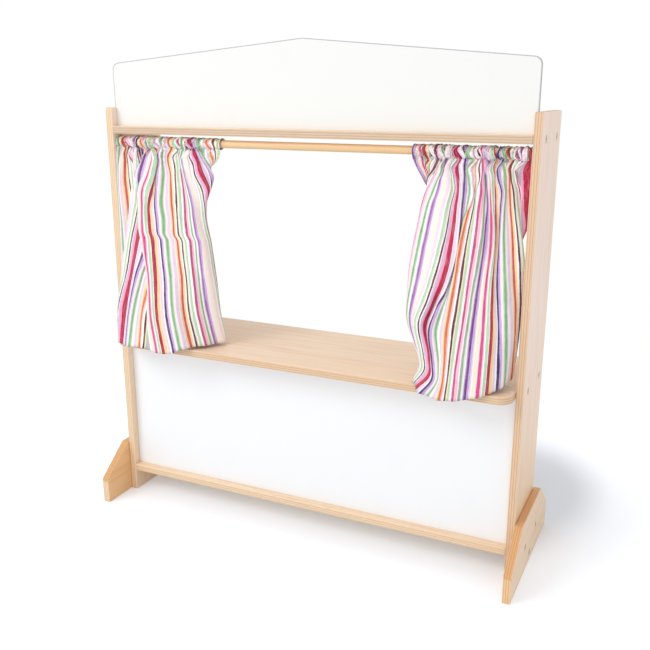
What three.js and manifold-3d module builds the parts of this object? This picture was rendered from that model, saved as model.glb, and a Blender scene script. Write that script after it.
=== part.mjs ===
// A child's puppet theater stand. Two plywood side panels stand on outrigger feet
// and carry a top rail, a stage shelf and a bottom rail between them. White marker
// boards close the front above the rail and below the shelf, and two gathered
// curtains slide on a dowel over the stage window. Connector bolts with cross
// dowels draw every rail end to its panel.
//
// The origin is on the floor at the middle of the stand. X runs across the stage,
// the audience looks along +Y, and Z is up. Lengths are millimetres.

import * as THREE from 'three';
import { mergeVertices } from 'three/addons/utils/BufferGeometryUtils.js';
import Module from 'manifold-3d';

const wasm = await Module();
wasm.setup();

// Driving dimensions: the joinery that the whole stand shares
const ply = 19;
const seat = 0.3;
const easing = 2;
const easingSteps = 2;
const cornerSteps = 3;
const broadCornerSteps = 6;
const overrun = 5;

// The frame
const standWidth = 1100;
const panelDepth = 203;
const panelHeight = 1064;
const panelCornerRadius = 5;
const topRailDrop = 45;
const bottomRailUnderside = 59.5;
const shelfUnderside = 449;
const shelfOverhang = 51;
const shelfCornerRadius = 33;

// The feet
const footLength = 400;
const footEndHeight = 70;
const footTopHeight = 146;
const footTopOverlap = 5;
const footCornerRadius = 9;

// The marker boards
const boardThickness = 6;
const boardSetBack = 22;
const boardGrooveDepth = 4.5;
const headerShoulderRise = 152;
const headerApexRise = 200;
const shoulderRadius = 17;
const apexRadius = 60;

// The curtain rod
const rodRadius = 9.5;
const rodDrop = 20;
const rodSetBack = 24.5;
const rodSocketDepth = 10;
const rodSides = 32;

// The bolts, the cross dowels and the threaded inserts
const boltEdgeDistance = 41.5;
const boltShankRadius = 3;
const boltTip = 5;
const boltHeadRadius = 8;
const boltHeadThickness = 2.4;
const boltHeadSunk = 0.5;
const boltHeadGap = 0.8;
const boltHeadEasing = 0.5;
const hexKeyRadius = 2.3;
const hexKeyDepth = 1.8;
const boltSides = 16;
const crossDowelRadius = 5;
const crossDowelLength = 14;
const crossDowelEndDistance = 35;
const crossDowelSides = 12;
const crossDowelSlotWidth = 1.4;
const crossDowelSlotDepth = 1.5;
const insertRadius = 4.5;
const insertLength = 13;
const footBoltHeight = 25;

// The curtains
const clothThickness = 3;
const pocketWall = 1.2;
const pocketPleat = 3.4;
const pocketPinchShare = 0.35;
const pocketSides = 10;
const leftHeadingWidth = 312;
const rightHeadingWidth = 261;
const curtainEndGap = 1;
const hemClearance = 7;
const hemDroop = 38;
const hemStandOff = 32.5;
const foldDepth = 9;
const pleatDepth = 2.5;
const stationsPerPleat = 3;

// Sizes that follow from the driving dimensions
const squareCornerRadius = easing + seat;
const panelInner = standWidth / 2 - ply;
const panelFront = -panelDepth / 2;
const panelOuter = standWidth / 2;
const railLength = 2 * (panelInner - seat);
const shelfDepth = panelDepth + 2 * shelfOverhang;
const shelfTop = shelfUnderside + ply;
const topRailTop = panelHeight - topRailDrop;
const topRailUnderside = topRailTop - ply;
const shoulderHeight = topRailTop + headerShoulderRise;
const apexHeight = topRailTop + headerApexRise;
const bottomRailTop = bottomRailUnderside + ply;
const boardMiddle = panelFront + boardSetBack + boardThickness / 2;
const boardHalfWidth = panelInner + boardGrooveDepth - seat;
const grooveWidth = boardThickness + 2 * seat;
const rodMiddle = panelFront + rodSetBack;
const rodHeight = topRailUnderside - rodDrop;
const clothReach = shelfDepth / 2 + rodMiddle + hemStandOff;
const boltRecessDepth = boltHeadThickness + boltHeadSunk + seat;
const boltRecessRadius = boltHeadRadius + boltHeadGap;
const boltHoleRadius = boltShankRadius + seat;
const boltReach = crossDowelEndDistance + crossDowelRadius + boltTip;
const footInner = panelOuter + seat;
const footOuter = footInner + ply;

const colours = {
  maple: 0xe6cba4,
  dowel: 0xe3bd86,
  whiteboard: 0xf8f9fb,
  steel: 0xb9b4ad,
  zinc: 0xc9cbcf,
  cloth: 0xe9b6c6,
};

function material(colour, roughness, metalness) {
  return new THREE.MeshStandardMaterial({ color: colour, roughness, metalness });
}

const finishes = {
  maple: material(colours.maple, 0.5, 0),
  dowel: material(colours.dowel, 0.45, 0),
  whiteboard: material(colours.whiteboard, 0.15, 0),
  steel: material(colours.steel, 0.3, 1),
  zinc: material(colours.zinc, 0.4, 1),
  cloth: material(colours.cloth, 0.9, 0),
};

const stand = new THREE.Group();

// Turning geometry into solids and back

function solid(geometry) {
  const bare = geometry.clone();
  bare.deleteAttribute('normal');
  bare.deleteAttribute('uv');
  const merged = mergeVertices(bare);
  return new wasm.Manifold(new wasm.Mesh({
    numProp: 3,
    vertProperties: Float32Array.from(merged.attributes.position.array),
    triVerts: Uint32Array.from(merged.index.array),
  }));
}

function geometryOf(body) {
  const mesh = body.getMesh();
  const geometry = new THREE.BufferGeometry();
  geometry.setAttribute('position', new THREE.BufferAttribute(mesh.vertProperties, mesh.numProp));
  geometry.setIndex(new THREE.BufferAttribute(mesh.triVerts, 1));
  geometry.computeVertexNormals();
  return geometry;
}

function cutAway(body, tools) {
  return tools.reduce((rest, tool) => rest.subtract(tool), body);
}

function addPiece(parent, name, body, finish) {
  const mesh = new THREE.Mesh(geometryOf(body), finish);
  mesh.name = name;
  parent.add(mesh);
  return mesh;
}

// Plain tools: a block between two corners, and cylinders along X and along Z

function block(low, high) {
  const size = high.map((value, axis) => value - low[axis]);
  const middle = high.map((value, axis) => (value + low[axis]) / 2);
  return solid(new THREE.BoxGeometry(...size).translate(...middle));
}

function cylinderX(radius, fromX, toX, y, z, sides) {
  const length = Math.abs(toX - fromX);
  const geometry = new THREE.CylinderGeometry(radius, radius, length, sides);
  geometry.rotateZ(Math.PI / 2).translate((fromX + toX) / 2, y, z);
  return solid(geometry);
}

function cylinderZ(radius, x, y, fromZ, toZ, sides) {
  const geometry = new THREE.CylinderGeometry(radius, radius, toZ - fromZ, sides);
  geometry.rotateX(Math.PI / 2).translate(x, y, (fromZ + toZ) / 2);
  return solid(geometry);
}

// An outline through given corners, each rounded by an arc of its own radius that
// touches both edges

function roundedOutline(corners, steps) {
  const points = corners.flatMap((corner, index) => {
    const here = new THREE.Vector2(corner.x, corner.y);
    const before = corners[(index + corners.length - 1) % corners.length];
    const after = corners[(index + 1) % corners.length];
    const back = new THREE.Vector2(before.x, before.y).sub(here).normalize();
    const onward = new THREE.Vector2(after.x, after.y).sub(here).normalize();
    const halfAngle = Math.acos(back.dot(onward)) / 2;
    const middleWay = back.clone().add(onward).normalize();
    const centre = here.clone().addScaledVector(middleWay, corner.radius / Math.sin(halfAngle));
    const start = back.multiplyScalar(corner.radius / Math.tan(halfAngle)).add(here).sub(centre);
    const turn = Math.PI - 2 * halfAngle;
    return Array.from({ length: steps + 1 }, (_, step) => (
      start.clone().rotateAround(new THREE.Vector2(), turn * step / steps).add(centre)
    ));
  });
  return new THREE.Shape(points);
}

// A board of one thickness whose long edges are eased all round

function easedBoard(corners, thickness, ease, steps) {
  const geometry = new THREE.ExtrudeGeometry(roundedOutline(corners, steps), {
    depth: thickness - 2 * ease,
    bevelEnabled: true,
    bevelThickness: ease,
    bevelSize: ease,
    bevelOffset: -ease,
    bevelSegments: easingSteps,
  });
  return geometry.translate(0, 0, ease);
}

// Outlines drawn in the side view stand up along Y and Z, and their thickness
// runs along X from the given place

function uprightAcross(geometry, fromX) {
  return geometry.applyMatrix4(new THREE.Matrix4().set(
    0, 0, 1, fromX,
    1, 0, 0, 0,
    0, 1, 0, 0,
    0, 0, 0, 1,
  ));
}

// Outlines drawn in the front view face the audience, and their thickness runs
// along Y from the given place

function uprightFacing(geometry, fromY) {
  return geometry.applyMatrix4(new THREE.Matrix4().set(
    1, 0, 0, 0,
    0, 0, -1, fromY + boardThickness,
    0, 1, 0, 0,
    0, 0, 0, 1,
  ));
}

// Where the bolts stand: two through each rail end

const boltRows = [panelFront + boltEdgeDistance, -panelFront - boltEdgeDistance];
const railLevels = [
  { name: 'top_rail', middle: topRailUnderside + ply / 2, through: ply },
  { name: 'shelf', middle: shelfUnderside + ply / 2, through: ply },
  { name: 'bottom_rail', middle: bottomRailUnderside + ply / 2, through: ply + seat + ply },
];

// Side panels

function panelBody(side) {
  const half = panelDepth / 2;
  const corners = [
    { x: -half, y: 0, radius: squareCornerRadius },
    { x: half, y: 0, radius: squareCornerRadius },
    { x: half, y: panelHeight, radius: panelCornerRadius },
    { x: -half, y: panelHeight, radius: panelCornerRadius },
  ];
  const fromX = side > 0 ? panelInner : -panelOuter;
  return solid(uprightAcross(easedBoard(corners, ply, easing, cornerSteps), fromX));
}

function boardGroove(side, fromZ, toZ) {
  const innerX = side * (panelInner - overrun);
  const outerX = side * (panelInner + boardGrooveDepth);
  const low = [Math.min(innerX, outerX), boardMiddle - grooveWidth / 2, fromZ];
  const high = [Math.max(innerX, outerX), boardMiddle + grooveWidth / 2, toZ];
  return block(low, high);
}

function panelHoles(side) {
  const holes = [];
  const innerX = side * (panelInner - overrun);
  const outerX = side * (panelOuter + overrun);
  for (const level of railLevels) {
    for (const y of boltRows) {
      holes.push(cylinderX(boltHoleRadius, innerX, outerX, y, level.middle, boltSides));
      if (level.name !== 'bottom_rail') {
        const recessX = side * (panelOuter - boltRecessDepth);
        holes.push(cylinderX(boltRecessRadius, recessX, outerX, y, level.middle, boltSides));
      }
    }
  }
  const insertX = side * (panelOuter - insertLength - seat);
  holes.push(cylinderX(insertRadius + seat, insertX, outerX, 0, footBoltHeight, boltSides));
  return holes;
}

function sidePanel(side) {
  const socketX = side * (panelInner + rodSocketDepth);
  const tools = [
    boardGroove(side, topRailTop - boardGrooveDepth, panelHeight + overrun),
    boardGroove(side, bottomRailTop - boardGrooveDepth, shelfUnderside + boardGrooveDepth),
    cylinderX(rodRadius + 2 * seat, side * (panelInner - overrun), socketX, rodMiddle, rodHeight, rodSides),
    ...panelHoles(side),
  ];
  return cutAway(panelBody(side), tools);
}

// Feet: low trapezoids outside the panels, longer than the panels are deep

function foot(side) {
  const halfTop = panelDepth / 2 + footTopOverlap;
  const halfLength = footLength / 2;
  const corners = [
    { x: -halfLength, y: 0, radius: squareCornerRadius },
    { x: halfLength, y: 0, radius: squareCornerRadius },
    { x: halfLength, y: footEndHeight, radius: footCornerRadius },
    { x: halfTop, y: footTopHeight, radius: footCornerRadius },
    { x: -halfTop, y: footTopHeight, radius: footCornerRadius },
    { x: -halfLength, y: footEndHeight, radius: footCornerRadius },
  ];
  const fromX = side > 0 ? footInner : -footOuter;
  const body = solid(uprightAcross(easedBoard(corners, ply, easing, cornerSteps), fromX));
  const places = boltRows.map((y) => [y, bottomRailUnderside + ply / 2]);
  places.push([0, footBoltHeight]);
  const innerX = side * (footInner - overrun);
  const recessX = side * (footOuter - boltRecessDepth);
  const outerX = side * (footOuter + overrun);
  const tools = places.flatMap(([y, z]) => [
    cylinderX(boltHoleRadius, innerX, outerX, y, z, boltSides),
    cylinderX(boltRecessRadius, recessX, outerX, y, z, boltSides),
  ]);
  return cutAway(body, tools);
}

// Rails and shelf: square ends against the panels, a bolt bore in each end, and a
// blind hole from below for each cross dowel

function endHoles(underside) {
  const middle = underside + ply / 2;
  const holes = [];
  for (const side of [-1, 1]) {
    const endX = side * (railLength / 2 + overrun);
    const boreX = side * (railLength / 2 - boltReach - seat);
    const dowelX = side * (railLength / 2 - crossDowelEndDistance);
    const dowelTop = middle + crossDowelLength / 2 + seat;
    for (const y of boltRows) {
      holes.push(cylinderX(boltHoleRadius, boreX, endX, y, middle, boltSides));
      holes.push(cylinderZ(crossDowelRadius + seat, dowelX, y, underside - overrun, dowelTop, boltSides));
    }
  }
  return holes;
}

function railBody(underside) {
  const half = panelDepth / 2;
  const corners = [
    { x: -half, y: underside, radius: easing },
    { x: half, y: underside, radius: easing },
    { x: half, y: underside + ply, radius: easing },
    { x: -half, y: underside + ply, radius: easing },
  ];
  const geometry = new THREE.ExtrudeGeometry(roundedOutline(corners, easingSteps), {
    depth: railLength,
    bevelEnabled: false,
  });
  return solid(uprightAcross(geometry, -railLength / 2));
}

function lengthwiseGroove(fromZ, toZ) {
  const reach = railLength / 2 + overrun;
  const low = [-reach, boardMiddle - grooveWidth / 2, fromZ];
  const high = [reach, boardMiddle + grooveWidth / 2, toZ];
  return block(low, high);
}

function rail(underside) {
  const top = underside + ply;
  const groove = lengthwiseGroove(top - boardGrooveDepth, top + overrun);
  return cutAway(railBody(underside), [groove, ...endHoles(underside)]);
}

function stageShelf() {
  const halfX = railLength / 2;
  const halfY = shelfDepth / 2;
  const corners = [
    { x: -halfX, y: -halfY, radius: shelfCornerRadius },
    { x: halfX, y: -halfY, radius: shelfCornerRadius },
    { x: halfX, y: halfY, radius: shelfCornerRadius },
    { x: -halfX, y: halfY, radius: shelfCornerRadius },
  ];
  const body = solid(easedBoard(corners, ply, easing, broadCornerSteps).translate(0, 0, shelfUnderside));
  const groove = lengthwiseGroove(shelfUnderside - overrun, shelfUnderside + boardGrooveDepth);
  return cutAway(body, [groove, ...endHoles(shelfUnderside)]);
}

// Marker boards

function markerBoard(corners, steps) {
  const geometry = new THREE.ExtrudeGeometry(roundedOutline(corners, steps), {
    depth: boardThickness,
    bevelEnabled: false,
  });
  return solid(uprightFacing(geometry, boardMiddle - boardThickness / 2));
}

function headerBoard() {
  const bottom = topRailTop - boardGrooveDepth + seat;
  return markerBoard([
    { x: -boardHalfWidth, y: bottom, radius: seat },
    { x: boardHalfWidth, y: bottom, radius: seat },
    { x: boardHalfWidth, y: shoulderHeight, radius: shoulderRadius },
    { x: 0, y: apexHeight, radius: apexRadius },
    { x: -boardHalfWidth, y: shoulderHeight, radius: shoulderRadius },
  ], broadCornerSteps);
}

function lowerBoard() {
  const bottom = bottomRailTop - boardGrooveDepth + seat;
  const top = shelfUnderside + boardGrooveDepth - seat;
  return markerBoard([
    { x: -boardHalfWidth, y: bottom, radius: seat },
    { x: boardHalfWidth, y: bottom, radius: seat },
    { x: boardHalfWidth, y: top, radius: seat },
    { x: -boardHalfWidth, y: top, radius: seat },
  ], 1);
}

// The rod: a dowel caught in a blind socket in each panel

function curtainRod() {
  const end = panelInner + rodSocketDepth - seat;
  const profile = [
    [0, -end],
    [rodRadius - easing / 2, -end],
    [rodRadius, -end + easing / 2],
    [rodRadius, end - easing / 2],
    [rodRadius - easing / 2, end],
    [0, end],
  ].map(([radius, height]) => new THREE.Vector2(radius, height));
  const geometry = new THREE.LatheGeometry(profile, rodSides);
  return solid(geometry.rotateZ(-Math.PI / 2).translate(0, rodMiddle, rodHeight));
}

// A flat-headed connector bolt along X, its head at the outer end

function connectorBolt(side, headSeat, length, y, z) {
  const headTop = boltHeadThickness;
  const profile = [
    [0, -length],
    [boltShankRadius - boltHeadEasing, -length],
    [boltShankRadius, -length + boltHeadEasing],
    [boltShankRadius, 0],
    [boltHeadRadius, 0],
    [boltHeadRadius, headTop - boltHeadEasing],
    [boltHeadRadius - boltHeadEasing, headTop],
    [0, headTop],
  ].map(([radius, height]) => new THREE.Vector2(radius, height));
  const body = solid(new THREE.LatheGeometry(profile, boltSides));
  const key = new THREE.CylinderGeometry(hexKeyRadius, hexKeyRadius, 2 * hexKeyDepth, 6);
  const socketed = body.subtract(solid(key.translate(0, headTop, 0)));
  const placed = geometryOf(socketed);
  placed.rotateZ(-side * Math.PI / 2).translate(side * headSeat, y, z);
  return solid(placed);
}

function crossDowel(side, y, middle) {
  const x = side * (railLength / 2 - crossDowelEndDistance);
  const reach = 2 * crossDowelRadius;
  const low = middle - crossDowelLength / 2;
  const body = cylinderZ(crossDowelRadius, x, y, low, low + crossDowelLength, crossDowelSides);
  const bore = cylinderX(boltHoleRadius, x - reach, x + reach, y, middle, boltSides);
  const slot = block(
    [x - reach, y - crossDowelSlotWidth / 2, low - overrun],
    [x + reach, y + crossDowelSlotWidth / 2, low + crossDowelSlotDepth],
  );
  return cutAway(body, [bore, slot]);
}

function threadedInsert(side) {
  const outerX = side * (panelOuter - seat);
  const innerX = side * (panelOuter - insertLength);
  const body = cylinderX(insertRadius, innerX, outerX, 0, footBoltHeight, boltSides);
  const reach = overrun * side;
  const bore = cylinderX(boltHoleRadius, innerX - reach, outerX + reach, 0, footBoltHeight, boltSides);
  return body.subtract(bore);
}

// Curtains. A curtain is one sheet of cloth, worked out as a grid. Across it, u runs
// from 0 at the panel to 1 at the inner edge; down it, v runs from 0 at the rod to 1
// at the hem. Tables of shares give its edges, its reach out over the shelf and the
// rise of its hem; cosine waves add the pleats of the heading and the main folds,
// which lean as they fall and wander a little from an even spacing.

function lookUp(shares, at) {
  const last = shares[shares.length - 1];
  if (at >= last[0]) return last[1];
  const next = Math.max(1, shares.findIndex(([place]) => place > at));
  const [fromPlace, fromValue] = shares[next - 1];
  const [toPlace, toValue] = shares[next];
  return fromValue + (toValue - fromValue) * (at - fromPlace) / (toPlace - fromPlace);
}

const curtains = [
  {
    name: 'left_curtain',
    side: -1,
    headingWidth: leftHeadingWidth,
    pleats: 13,
    folds: 6,
    innerEdgeShares: [
      [0, 1], [0.05, 0.98], [0.12, 0.9], [0.2, 0.88], [0.32, 0.85], [0.5, 0.88], [0.75, 0.95], [1, 0.98],
    ],
    outerEdgeShares: [[0, 0], [0.6, 0], [1, -0.012]],
    reachShares: [[0, 0.84], [0.1, 0.92], [0.3, 0.96], [0.6, 0.93], [0.75, 0.85], [0.87, 0.5], [1, 0.02]],
    hemRiseShares: [[0, 0.22], [0.1, 0.18], [0.3, 0.16], [0.5, 0], [0.6, 0.1], [0.75, 0.5], [1, 0.5]],
    foldPhaseShare: 0.1,
    foldLeanShare: 0.22,
    foldWanderShare: 0.035,
  },
  {
    name: 'right_curtain',
    side: 1,
    headingWidth: rightHeadingWidth,
    pleats: 12,
    folds: 5,
    innerEdgeShares: [
      [0, 1], [0.06, 0.97], [0.17, 0.89], [0.32, 0.94], [0.46, 0.99], [0.74, 0.99], [0.83, 0.92],
      [0.9, 0.84], [0.96, 0.8], [1, 0.71],
    ],
    outerEdgeShares: [[0, 0], [0.7, 0], [1, 0.05]],
    reachShares: [[0, 0.02], [0.1, 0.38], [0.26, 0.86], [0.5, 0.94], [0.82, 1], [1, 0.9]],
    hemRiseShares: [[0, 1], [0.1, 0.7], [0.26, 0.46], [0.5, 0.18], [0.82, 0], [1, 0.24]],
    foldPhaseShare: 0.35,
    foldLeanShare: -0.3,
    foldWanderShare: 0.04,
  },
];

const headingShare = 0.05;
const pleatsEndShare = 0.35;
const rowShares = [0, headingShare, 0.12, 0.22, pleatsEndShare, 0.5, 0.66, 0.83, 1];
const foldsGrownShare = 0.4;

// A point of the sheet: its edges and hem come from the tables, and it leans out
// from the rod as it falls

function clothPoint(curtain, u, v) {
  const lowestHem = shelfTop + hemClearance - hemDroop / 2;
  const inner = lookUp(curtain.innerEdgeShares, v);
  const outer = lookUp(curtain.outerEdgeShares, v);
  const across = curtain.headingWidth * (outer + (inner - outer) * u);
  const x = curtain.side * (panelInner - curtainEndGap - across);
  const hem = lowestHem + hemDroop * lookUp(curtain.hemRiseShares, u);
  const z = rodHeight - (rodHeight - hem) * v;
  const fall = Math.max(0, v - headingShare) / (1 - headingShare);
  const reach = clothReach * lookUp(curtain.reachShares, u) * fall;
  const pleat = pleatDepth * Math.max(0, 1 - v / pleatsEndShare)
    * Math.cos(2 * Math.PI * curtain.pleats * u);
  const wander = curtain.foldWanderShare * Math.sin(2 * Math.PI * (u + v));
  const turns = curtain.folds * (u + wander) + curtain.foldPhaseShare + curtain.foldLeanShare * v;
  const fold = foldDepth * Math.min(1, v / foldsGrownShare) * Math.cos(2 * Math.PI * turns);
  return new THREE.Vector3(x, rodMiddle - reach + pleat + fold, z);
}

// A closed skin over a grid of points: a front and a back sheet joined at the rim

function gridSkin(columns, rows, frontAt, backAt) {
  const positions = [];
  const indices = [];
  for (const pointAt of [frontAt, backAt]) {
    for (let column = 0; column <= columns; column += 1) {
      for (let row = 0; row <= rows; row += 1) {
        positions.push(...pointAt(column, row).toArray());
      }
    }
  }
  const sheetSize = (columns + 1) * (rows + 1);
  const front = (column, row) => column * (rows + 1) + row;
  const back = (column, row) => sheetSize + front(column, row);
  const quad = (a, b, c, d) => indices.push(a, b, c, a, c, d);
  for (let column = 0; column < columns; column += 1) {
    for (let row = 0; row < rows; row += 1) {
      quad(front(column, row), front(column, row + 1), front(column + 1, row + 1), front(column + 1, row));
      quad(back(column, row), back(column + 1, row), back(column + 1, row + 1), back(column, row + 1));
    }
    quad(front(column, 0), front(column + 1, 0), back(column + 1, 0), back(column, 0));
    quad(back(column, rows), back(column + 1, rows), front(column + 1, rows), front(column, rows));
  }
  for (let row = 0; row < rows; row += 1) {
    quad(front(0, row + 1), front(0, row), back(0, row), back(0, row + 1));
    quad(front(columns, row), front(columns, row + 1), back(columns, row + 1), back(columns, row));
  }
  const geometry = new THREE.BufferGeometry();
  geometry.setAttribute('position', new THREE.BufferAttribute(new Float32Array(positions), 3));
  geometry.setIndex(indices);
  return geometry;
}

// The front of the sheet points at the audience on the left curtain; the right one
// runs the other way, so its two faces trade places

function hangingSheet(curtain) {
  const columns = curtain.pleats * stationsPerPleat;
  const rows = rowShares.length - 1;
  const faceAt = (offset) => (column, row) => {
    const point = clothPoint(curtain, column / columns, rowShares[row]);
    point.y += offset;
    return point;
  };
  const near = faceAt(-clothThickness / 2);
  const far = faceAt(clothThickness / 2);
  return curtain.side < 0 ? gridSkin(columns, rows, near, far) : gridSkin(columns, rows, far, near);
}

// The rod pocket: a sleeve along the rod whose outside swells and pinches with the
// pleats

function rodPocket(curtain) {
  const stations = curtain.pleats * 2;
  const rings = [];
  for (let station = 0; station <= stations; station += 1) {
    const x = curtain.side * (panelInner - curtainEndGap - curtain.headingWidth * station / stations);
    const swell = station % 2 ? 1 : pocketPinchShare;
    const radius = rodRadius + 2 * seat + pocketWall + pocketPleat * swell;
    rings.push({ x, radius });
  }
  const profile = [new THREE.Vector2(0, rings[0].x)];
  rings.forEach((ring) => profile.push(new THREE.Vector2(ring.radius, ring.x)));
  profile.push(new THREE.Vector2(0, rings[stations].x));
  if (curtain.side > 0) profile.reverse();
  const geometry = new THREE.LatheGeometry(profile, pocketSides);
  return solid(geometry.rotateZ(-Math.PI / 2).translate(0, rodMiddle, rodHeight));
}

function curtainBody(curtain) {
  const cloth = solid(hangingSheet(curtain)).add(rodPocket(curtain));
  const boreRadius = (rodRadius + seat) / Math.cos(Math.PI / boltSides);
  const reach = panelInner + overrun;
  return cloth.subtract(cylinderX(boreRadius, -reach, reach, rodMiddle, rodHeight, boltSides));
}

// Putting the stand together

const frame = new THREE.Group();
stand.add(frame);

addPiece(frame, 'top_rail', rail(topRailUnderside), finishes.maple);
addPiece(frame, 'stage_shelf', stageShelf(), finishes.maple);
addPiece(frame, 'bottom_rail', rail(bottomRailUnderside), finishes.maple);
addPiece(frame, 'header_board', headerBoard(), finishes.whiteboard);
addPiece(frame, 'lower_board', lowerBoard(), finishes.whiteboard);
addPiece(frame, 'curtain_rod', curtainRod(), finishes.dowel);

const rowNames = ['front', 'rear'];

for (const [sideName, side] of [['left', -1], ['right', 1]]) {
  addPiece(frame, `${sideName}_side_panel`, sidePanel(side), finishes.maple);
  addPiece(frame, `${sideName}_foot`, foot(side), finishes.maple);
  for (const level of railLevels) {
    const outer = panelInner + level.through;
    const headSeat = outer - boltRecessDepth + seat;
    const length = headSeat - (railLength / 2 - boltReach);
    boltRows.forEach((y, row) => {
      const label = `${sideName}_${level.name}_${rowNames[row]}`;
      const bolt = connectorBolt(side, headSeat, length, y, level.middle);
      addPiece(frame, `${label}_bolt`, bolt, finishes.steel);
      addPiece(frame, `${label}_cross_dowel`, crossDowel(side, y, level.middle), finishes.zinc);
    });
  }
  const footSeat = footOuter - boltRecessDepth + seat;
  const footBoltLength = footSeat - (panelOuter - insertLength + seat);
  const footBolt = connectorBolt(side, footSeat, footBoltLength, 0, footBoltHeight);
  addPiece(frame, `${sideName}_foot_bolt`, footBolt, finishes.steel);
  addPiece(frame, `${sideName}_foot_insert`, threadedInsert(side), finishes.zinc);
}

for (const curtain of curtains) {
  addPiece(stand, curtain.name, curtainBody(curtain), finishes.cloth);
}

export default stand;
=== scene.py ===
# %% [markdown]
# A stage for hand puppets, made for a classroom: seven boards of plywood, two white marker boards, a
# wooden rod, and two striped curtains that slide on the rod. The wooden and metal pieces come from
# the CAD model with their real shapes, so this lesson gives those pieces their finish, and makes
# what CAD keeps plain: the cloth and the round of the rod.
#
# The first cell loads the CAD model. Every length after it is in metres, in the model's own frame:
# X runs across the stage, the audience stands on the side of minus Y, and Z is height over the floor.

import bpy
import numpy as np
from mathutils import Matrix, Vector


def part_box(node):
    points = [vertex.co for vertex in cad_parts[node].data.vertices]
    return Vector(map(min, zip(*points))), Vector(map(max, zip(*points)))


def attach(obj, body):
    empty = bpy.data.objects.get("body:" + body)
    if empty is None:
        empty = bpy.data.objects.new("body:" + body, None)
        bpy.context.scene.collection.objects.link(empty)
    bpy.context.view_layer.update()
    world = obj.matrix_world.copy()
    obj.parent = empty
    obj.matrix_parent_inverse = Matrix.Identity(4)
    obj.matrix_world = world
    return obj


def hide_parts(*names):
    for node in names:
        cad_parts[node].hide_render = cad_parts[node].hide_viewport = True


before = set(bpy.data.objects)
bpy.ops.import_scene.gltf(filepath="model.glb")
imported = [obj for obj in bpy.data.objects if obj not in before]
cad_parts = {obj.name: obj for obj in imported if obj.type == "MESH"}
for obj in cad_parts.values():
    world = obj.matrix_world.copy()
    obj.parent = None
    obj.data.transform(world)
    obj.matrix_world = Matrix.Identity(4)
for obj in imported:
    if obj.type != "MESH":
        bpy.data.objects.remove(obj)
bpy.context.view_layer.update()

# %% [markdown]
# The photograph shows the stand from its right and a little above the middle. A lens longer than the
# usual 35 mm keeps the uprights nearly parallel, as a product picture does. The camera is placed by
# its position and by the point it looks at, which is easier to change than three angles.

# %% Camera
camera_place = Vector((0.8728, -1.8155, 1.1055))
camera_target = Vector((0.0671, -0.1015, 0.5643))
lens_length = 45.47


def add(name, data):
    """Makes an object of a camera, a lamp or a mesh, and puts it into the scene."""
    thing = bpy.data.objects.new(name, data)
    bpy.context.scene.collection.objects.link(thing)
    return thing


def aim(thing, place, target):
    """Moves a camera or a lamp to a place and turns it towards a target."""
    thing.location = place
    thing.rotation_euler = (Vector(target) - Vector(place)).to_track_quat("-Z", "Y").to_euler()


camera = add("camera", bpy.data.cameras.new("camera"))
camera.data.lens = lens_length
camera.data.sensor_width = 36
aim(camera, camera_place, camera_target)
bpy.context.scene.camera = camera
print("camera looks over", round((camera_target - camera_place).length, 3), "m")

# %% [markdown]
# Shader nodes can be wired one by one, but a pattern is easier to read as a sum. The class below
# wraps one output of a node. Its operators add the Math node that does the same, so that
# `1 - mask` in Python becomes a Subtract node in Blender.

# %% Sums of sockets
class Value:
    """One output socket of a node, which can be added, subtracted, multiplied and divided."""

    def __init__(self, finish, socket):
        self.finish = finish
        self.socket = socket

    def math(self, operation, *others):
        """Adds a Math node with this value first and the others after it."""
        sockets = dict(enumerate((self,) + others))
        return self.finish.node("ShaderNodeMath", {"operation": operation}, sockets)

    def __add__(self, other):
        return self.math("ADD", other)

    def __sub__(self, other):
        return self.math("SUBTRACT", other)

    def __mul__(self, other):
        return self.math("MULTIPLY", other)

    def __truediv__(self, other):
        return self.math("DIVIDE", other)

    def __rsub__(self, other):
        return self.finish.node("ShaderNodeMath", {"operation": "SUBTRACT"}, {0: other, 1: self})

    __radd__ = __add__
    __rmul__ = __mul__

    def above(self, limit):
        """Is 1 where this value is over the limit and 0 elsewhere."""
        return self.math("GREATER_THAN", limit)

    def below(self, limit):
        """Is 1 where this value is under the limit and 0 elsewhere."""
        return self.math("LESS_THAN", limit)

    def step(self, start, end, low=0.0, high=1.0):
        """Goes smoothly from low to high as this value goes from start to end."""
        sockets = {"Value": self, "From Min": start, "From Max": end, "To Min": low, "To Max": high}
        return self.finish.node("ShaderNodeMapRange", {"interpolation_type": "SMOOTHSTEP"}, sockets)


# %% [markdown]
# A finish is one material. Its method `node` is the only way in which nodes are made: it takes the
# kind of node, its settings, and what goes into its sockets, which are numbers or other values.
# Colours are written as a painter reads them off a picture, from 0 to 255, and turned into the
# linear numbers that the renderer works with.

# %% Finishes
def paint(red, green, blue):
    """Turns a colour of a picture, from 0 to 255, into linear light."""
    share = np.array([red, green, blue]) / 255
    linear = np.where(share > 0.04045, ((share + 0.055) / 1.055) ** 2.4, share / 12.92)
    return tuple(float(part) for part in linear) + (1.0,)


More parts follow.
